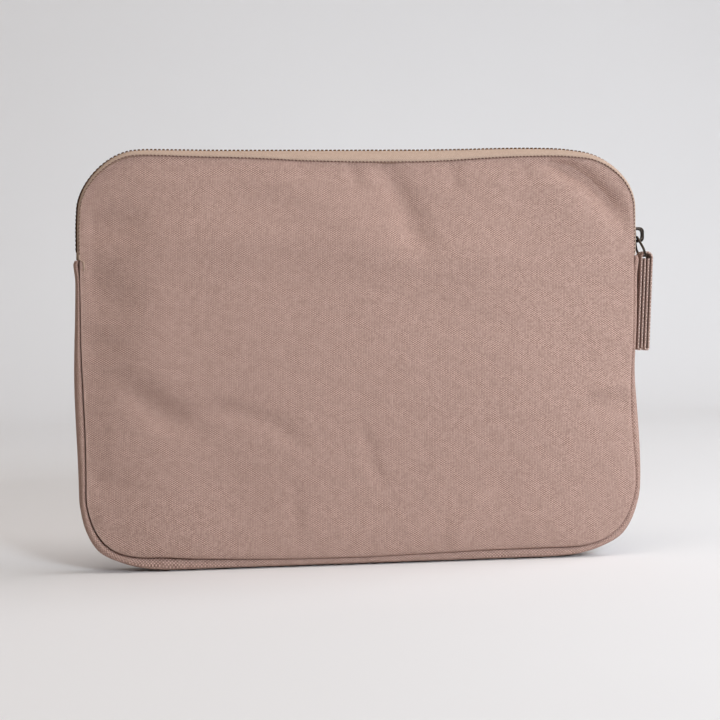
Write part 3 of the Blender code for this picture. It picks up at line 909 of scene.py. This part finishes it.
def tooth_row(name, side, phase, drop):
    """One tape's teeth, from the slider's end over the top to the bottom stop. phase is its
    offset in teeth, and drop how far the top run sits below the other row."""
    start, stop = spot("right", 190.6) + phase * TOOTH_PITCH, spot("left", 190.4)
    d = np.arange(start, stop, TOOTH_PITCH)
    place, out = outline(d)
    parted = 1.25 * MM * (1 - ease(d, spot("right", 193.5), spot("right", 199.5)))
    shape, shape_faces = tooth_shape()
    points, faces = [], []
    for (px, pz), (ox, oz), apart in zip(place, out, parted):
        base = len(points)
        for along, reach, rise in shape:
            rise -= drop * max(oz, 0)
            points.append(
                (px - oz * along + ox * rise, side * (apart - reach), pz + ox * along + oz * rise)
            )
        faces += [[c + base for c in face] for face in shape_faces]
    return build(name, points, faces, BRASS)


def slider_body():
    """The slider's two plates, joined by its post, with flanges that hold the teeth in."""
    x0 = HALF_WIDTH / MM
    plan = rounded(
        [(-4.5, 190.5), (4.5, 190.5), (4.6, 195), (3.7, 202.5), (-3.7, 202.5), (-4.6, 195)], 1.3
    )

    def plate(name, low, high, wide):
        return slab(
            name, [(p.x * wide, p.y) for p in plan],
            lambda u, v, t: ((x0 + (low, high)[t]) * MM, u * MM, v * MM),
            0.25 * MM, BRONZE, 0.9,
        )

    parts = [plate("slider_plate", 0.2, 1.2, 1.0), plate("slider_back", -3.9, -2.95, 0.66)]
    for y in ((-4.4, -3.4), (3.4, 4.4)):
        parts.append(block("flange", (x0 - 1.4, x0 + 0.6), y, (191.6, 201.4), 0.3, BRONZE))
    parts.append(block("post", (x0 - 3.5, x0 + 0.7), (-0.8, 0.8), (191.1, 193.6), 0.35, BRONZE))
    return joined("slider", parts)


def slider_bridge():
    """The arch over the slider that holds the link."""
    outer = rounded([(0.7, 192.6), (7.2, 192.9), (7.2, 202.2), (0.7, 202.4)], 3.4, 10, False)
    inner = rounded([(0.7, 194.6), (5.35, 194.8), (5.35, 200.3), (0.7, 200.5)], 2.2, 10, False)
    loop = [(p.x, p.y) for p in outer + inner[::-1]]
    half = 1.3 * MM
    return slab(
        "slider_bridge_cap", loop,
        lambda u, v, t: (HALF_WIDTH + u * MM, (-half, half)[t], v * MM),
        0.4 * MM, BRONZE,
    )


def pull_wire():
    """The wire link between the slider's bridge and the webbing."""
    lean = math.radians(20)
    down = Vector((math.sin(lean), 0, -math.cos(lean)))
    half = [(7.25, 12.2), (7.25, 7.0), (2.5, -0.15)]
    flat = rounded([(-x, y) for x, y in half[::-1]] + half, 1.3, 8)
    path = [LINK_TOP + Vector((0, p.x * MM, 0)) + down * p.y * MM for p in flat]
    return wire("pull_wire", path, WIRE_R, LINK_BRONZE)


def pull_strap():
    """The webbing pull: one length, over the link's bar, both ends folded up inside it."""
    thick, half_width = 1.2 * MM, 6.0 * MM
    inner, outer = 1.12 * MM, 3.3 * MM
    fold, centre = (outer - inner) / 2, (outer + inner) / 2
    crown = LINK_BAR.z + WIRE_R + 0.3 * MM - 2.2 * MM
    bottom = crown + 4.2 * MM - 61.5 * MM
    turn = bottom + fold + thick / 2
    half = [(inner, z) for z in np.linspace(LINK_BAR.z - 1.6 * MM, turn, 38)]
    half += [
        (centre - fold * math.cos(t), turn - fold * math.sin(t))
        for t in np.linspace(0, math.pi, 13)[1:-1]
    ]
    half += [(outer, z) for z in np.linspace(turn, crown, 40)]
    half += [
        (outer * math.cos(t), crown + outer * math.sin(t))
        for t in np.linspace(0, math.pi / 2, 12)[1:]
    ]
    path = np.array(half + [(-x, z) for x, z in half[:-1][::-1]])
    # hangs a little askew, its foot nearer the sleeve
    swing = math.radians(2.7)
    rel = path - (0, LINK_BAR.z)
    turned = rel @ [[math.cos(swing), -math.sin(swing)], [math.sin(swing), math.cos(swing)]]
    path = turned + (LINK_BAR.x + 1.2 * MM, LINK_BAR.z)
    run = np.gradient(path, axis=0)
    run /= np.linalg.norm(run, axis=1)[:, None]
    normal = np.stack([-run[:, 1], run[:, 0]], 1)
    edge = half_width - thick / 2
    ring = [(y, thick / 2) for y in np.linspace(-edge, edge, 7)]
    ring += [
        (edge + thick / 2 * math.sin(t), thick / 2 * math.cos(t))
        for t in np.linspace(0, math.pi, 7)[1:-1]
    ]
    ring += [(-y, -t) for y, t in ring]
    rings = [
        [(x + nx * t, y, z + nz * t) for y, t in ring] for (x, z), (nx, nz) in zip(path, normal)
    ]
    return loft("webbing_pull", rings, lengths(ring), lengths(path), WEBBING, shape=False)


# --- The pieces ----------------------------------------------------------------------------

CROWN = 8.2 * MM
front_height = sampled(*swell("swell_front", 7), CROWN, 0.14)
back_height = sampled(*swell("swell_back", 19), CROWN, 0.6)

front_panel = pad("front_panel", -1, front_height, FRONT_FOLDS, canvas("front_canvas"))
back_panel = pad("back_panel", 1, back_height, BACK_FOLDS, canvas("back_canvas"))
band = edge_band(canvas("edge_band_canvas"))
tape_front, tape_back = zip_tape("tape_front", -1), zip_tape("tape_back", 1)
lining_front, lining_back = lining_panel("front_lining", -1), lining_panel("back_lining", 1)
lining_band = lining_edge()
teeth_front = tooth_row("teeth_front", -1, 0.0, 0.0)
teeth_back = tooth_row("teeth_back", 1, 0.5, 0.45 * MM)
seam_front = zip_stitches("zip_stitches_front", -1)
seam_back = zip_stitches("zip_stitches_back", 1)
STOP_Z = (186.3, 189.6)
stop_front = block("top_stop_front", (168.8, 171), (-3.1, -0.95), STOP_Z, 0.45, STOP_BRASS)
stop_back = block("top_stop_back", (168.8, 171), (0.95, 3.1), STOP_Z, 0.45, STOP_BRASS)
stop_low = block("bottom_stop", (-170.3, -168.1), (-2.9, 2.9), STOP_Z, 0.5, STOP_BRASS)
slider, bridge, link, strap = slider_body(), slider_bridge(), pull_wire(), pull_strap()

PIECES = (
    # piece, body ("flap" pieces are baked in place, attached to no body), slot, the nodes it
    # stands for
    (
        front_panel, "flap", "canvas",
        ("front_canvas_lower", "front_canvas_upper", "front_foam_lower", "front_foam_upper"),
    ),
    (back_panel, "shell", "canvas", ("back_canvas_panel", "back_foam_panel")),
    (band, "shell", "canvas", ("gusset_canvas", "gusset_foam")),
    (lining_band, "shell", "lining", ("gusset_lining",)),
    (lining_front, "flap", "lining", ("front_lining_lower", "front_lining_upper")),
    (lining_back, "shell", "lining", ("back_lining_panel",)),
    (tape_front, "flap", "zip_tape", ("zip_tape_front",)),
    (tape_back, "shell", "zip_tape", ("zip_tape_back",)),
    (
        teeth_front, "flap", "teeth",
        ("zip_chain_front", "zip_chain_front_left_end", "zip_chain_front_right_end"),
    ),
    (teeth_back, "shell", "teeth", ("zip_chain_back", "zip_chain_back_right_end")),
    (seam_front, "flap", "zip_tape", ()),
    (seam_back, "shell", "zip_tape", ()),
    (stop_front, "shell", "teeth", ("zip_top_stop_front",)),
    (stop_back, "shell", "teeth", ("zip_top_stop_back",)),
    (stop_low, "shell", "teeth", ("zip_bottom_stop",)),
    (slider, "slider", "slider_metal", ("slider_body",)),
    (bridge, "slider", "slider_metal", ("slider_bridge",)),
    (link, "link", "slider_metal", ("pull_link",)),
    (strap, "strap", "webbing", ("pull_strap",)),
)
for piece, body, slot, nodes in PIECES:
    if body == "flap":
        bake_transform(piece)
    else:
        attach(piece, body)
    if nodes:
        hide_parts(*nodes)

# --- Studio --------------------------------------------------------------------------------


def sweep():
    """A pale paper floor that curves up into a backdrop well behind the sleeve."""
    near, radius = 1.25, 0.6
    profile = [(-14.0, 0.0), (-0.6, 0.0), (near, 0.0)]
    profile += [
        (near + radius * math.sin(a), radius - radius * math.cos(a))
        for a in np.linspace(0, math.pi / 2, 33)[1:]
    ]
    profile += [(near + radius, 3.0)]
    size = len(profile)
    points = [(x, y, z) for x in (-12.0, 12.0) for y, z in profile]
    faces = [(j, j + 1, size + j + 1, size + j) for j in range(size - 1)]
    obj = build("paper_sweep", points, faces, shape=False)
    n = Nodes("paper")
    place = n.add("TexCoord", out="Object")
    colour = n.mix(n.noise(place, 3.0), (0.765, 0.755, 0.75), (0.79, 0.78, 0.775))
    obj.data.materials.append(n.surface(colour, 0.9, n.noise(place, 900.0), 0.02 * MM, 0.3))


def area_light(name, location, target, size, power, colour, spread=180):
    data = bpy.data.lights.new(name, "AREA")
    data.spread = math.radians(spread)
    data.shape = "RECTANGLE"
    data.size, data.size_y = size
    data.energy, data.color = power, colour
    obj = bpy.data.objects.new(name, data)
    obj.location = location
    obj.rotation_euler = (Vector(target) - Vector(location)).to_track_quat("-Z", "Y").to_euler()
    obj.visible_camera = False
    bpy.context.scene.collection.objects.link(obj)


def studio():
    sweep()
    front, side, overhead = (0.89, 1.0, 1.12), (0.965, 1.0, 1.06), (1.08, 1.0, 0.92)
    area_light("key", (0.71, -2.78, 1.16), (0.62, 0, 0.16), (0.6, 0.6), 8.7, front, 60)
    area_light("window", (2.6, -0.1, 1.9), (0, 0, 0.1), (3.0, 2.6), 37, side, 110)
    area_light("ceiling", (-0.15, -0.9, 2.4), (-0.1, 0.1, 0), (2.0, 1.2), 19.0, overhead)
    world = bpy.data.worlds.new("studio_air")
    world.use_nodes = True
    air = world.node_tree.nodes["Background"].inputs
    air["Color"].default_value, air["Strength"].default_value = (1.0, 0.72, 0.50, 1), 0.115
    bpy.context.scene.world = world
    bpy.context.scene.view_settings.view_transform = "Standard"


def camera():
    azimuth, elevation, roll = (math.radians(a) for a in (-10.2, 2.3, -0.64))
    distance, focal, aim = 1.308, 108.0, Vector((-0.94 * MM, 0, 123.2 * MM))
    data = bpy.data.cameras.new("camera")
    data.sensor_width, data.lens = 36, focal
    obj = bpy.data.objects.new("camera", data)
    level = math.cos(elevation)
    towards = Vector((math.sin(azimuth) * level, -math.cos(azimuth) * level, math.sin(elevation)))
    obj.location = aim + towards * distance
    look = (-towards).to_track_quat("-Z", "Y").to_matrix()
    obj.rotation_euler = (look @ Matrix.Rotation(roll, 3, "Z")).to_euler()
    bpy.context.scene.collection.objects.link(obj)
    bpy.context.scene.camera = obj


studio()
camera()
